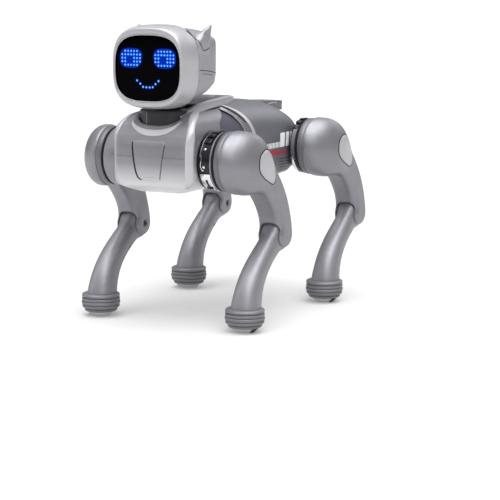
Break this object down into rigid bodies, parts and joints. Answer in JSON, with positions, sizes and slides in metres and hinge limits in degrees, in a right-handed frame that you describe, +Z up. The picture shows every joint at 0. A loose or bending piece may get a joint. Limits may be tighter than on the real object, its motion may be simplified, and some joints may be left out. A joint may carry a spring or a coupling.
{
  "type": "quadruped robot dog",
  "caption": "Four-legged robot dog with a screen-faced head on a short neck, a barrel-shaped body, powered hips and knees, and ribbed round feet.",
  "frame": {"origin": "on the floor, in the middle of the overall length and width", "axes": "+Z up, -Y towards the head, +X towards the dog's left side"},
  "size_m": [0.1974, 0.2865, 0.2855],
  "materials": {
    "leg_grey": "satin metallic grey moulded plastic",
    "cap_grey": "satin light grey moulded plastic",
    "foot_grey": "dull dark grey soft plastic with ribs",
    "sole_rubber": "matt black rubber",
    "head_silver": "satin silver paint on plastic",
    "chest_grey": "satin silver-grey paint on plastic",
    "gunmetal": "satin gunmetal paint on plastic",
    "bright_trim": "bright satin silver trim",
    "chrome_plate": "chrome plated",
    "gloss_black": "piano black",
    "screen_black": "smoked black lens",
    "face_light": "blue light-emitting dots",
    "inner_plastic": "black moulded plastic",
    "battery_wrap": "blue shrink wrap",
    "circuit_board": "green solder mask",
    "steel": "plain steel"
  },
  "bodies": {
    "torso": {"chassis_frame": "inner_plastic", "chest_upper_shell": "chest_grey", "chest_lower_shell": "chest_grey", "chest_trims": "bright_trim", "collar_trim": "bright_trim", "neck_cover": "gloss_black", "neck_servo": "inner_plastic", "left_flank": "gunmetal", "right_flank": "gunmetal", "scoop_trims": "bright_trim", "back_cover": "gunmetal", "back_window": "gloss_black", "tail_loop": "gunmetal", "rear_cover": "gunmetal", "belly_cover": "inner_plastic", "hip_drums": "gloss_black", "hip_brackets": "chrome_plate", "hip_servos": "inner_plastic", "battery_pack": "battery_wrap", "main_board": "circuit_board", "speaker": "inner_plastic", "charge_port": "steel", "torso_screws": "steel"},
    "head": {"head_front_shell": "head_silver", "head_rear_shell": "head_silver", "face_screen": "screen_black", "face_leds": "face_light", "left_ear": "head_silver", "right_ear": "head_silver", "head_board": "circuit_board", "head_pivot": "inner_plastic"},
    "switch_slider": {"power_switch": "inner_plastic"},
    "front_left_thigh": {"front_left_thigh_shell": "leg_grey", "front_left_hip_cap": "cap_grey", "front_left_knee_pin": "steel"},
    "front_left_shank": {"front_left_shank_shell": "leg_grey", "front_left_knee_servo": "inner_plastic", "front_left_foot_boot": "foot_grey", "front_left_sole_pad": "sole_rubber"},
    "front_right_thigh": {"front_right_thigh_shell": "leg_grey", "front_right_hip_cap": "cap_grey", "front_right_knee_pin": "steel"},
    "front_right_shank": {"front_right_shank_shell": "leg_grey", "front_right_knee_servo": "inner_plastic", "front_right_foot_boot": "foot_grey", "front_right_sole_pad": "sole_rubber"},
    "rear_left_thigh": {"rear_left_thigh_shell": "leg_grey", "rear_left_hip_cap": "cap_grey", "rear_left_knee_pin": "steel"},
    "rear_left_shank": {"rear_left_shank_shell": "leg_grey", "rear_left_knee_servo": "inner_plastic", "rear_left_foot_boot": "foot_grey", "rear_left_sole_pad": "sole_rubber"},
    "rear_right_thigh": {"rear_right_thigh_shell": "leg_grey", "rear_right_hip_cap": "cap_grey", "rear_right_knee_pin": "steel"},
    "rear_right_shank": {"rear_right_shank_shell": "leg_grey", "rear_right_knee_servo": "inner_plastic", "rear_right_foot_boot": "foot_grey", "rear_right_sole_pad": "sole_rubber"}
  },
  "joints": [
    {"name": "head_turn", "type": "hinge", "parent": "torso", "child": "head", "pos_m": [0, -0.104, 0.206], "axis": [0, 0, 1], "range_deg": [-30, 30]},
    {"name": "power_switch_slide", "type": "slide", "parent": "torso", "child": "switch_slider", "axis": [0, 1, 0], "range_m": [0, 0.005]},
    {"name": "front_left_hip", "type": "hinge", "parent": "torso", "child": "front_left_thigh", "pos_m": [0.0606, -0.1003, 0.158], "axis": [1, 0, 0], "range_deg": [-50, 12]},
    {"name": "front_left_knee", "type": "hinge", "parent": "front_left_thigh", "child": "front_left_shank", "pos_m": [0.08, -0.0393, 0.084], "axis": [1, 0, 0], "range_deg": [-20, 25]},
    {"name": "front_right_hip", "type": "hinge", "parent": "torso", "child": "front_right_thigh", "pos_m": [-0.0606, -0.1003, 0.158], "axis": [1, 0, 0], "range_deg": [-50, 12]},
    {"name": "front_right_knee", "type": "hinge", "parent": "front_right_thigh", "child": "front_right_shank", "pos_m": [-0.08, -0.0393, 0.084], "axis": [1, 0, 0], "range_deg": [-20, 25]},
    {"name": "rear_left_hip", "type": "hinge", "parent": "torso", "child": "rear_left_thigh", "pos_m": [0.0606, 0.0695, 0.158], "axis": [1, 0, 0], "range_deg": [-10, 95]},
    {"name": "rear_left_knee", "type": "hinge", "parent": "rear_left_thigh", "child": "rear_left_shank", "pos_m": [0.08, 0.1305, 0.084], "axis": [1, 0, 0], "range_deg": [-20, 25]},
    {"name": "rear_right_hip", "type": "hinge", "parent": "torso", "child": "rear_right_thigh", "pos_m": [-0.0606, 0.0695, 0.158], "axis": [1, 0, 0], "range_deg": [-10, 95]},
    {"name": "rear_right_knee", "type": "hinge", "parent": "rear_right_thigh", "child": "rear_right_shank", "pos_m": [-0.08, 0.1305, 0.084], "axis": [1, 0, 0], "range_deg": [-20, 25]}
  ]
}
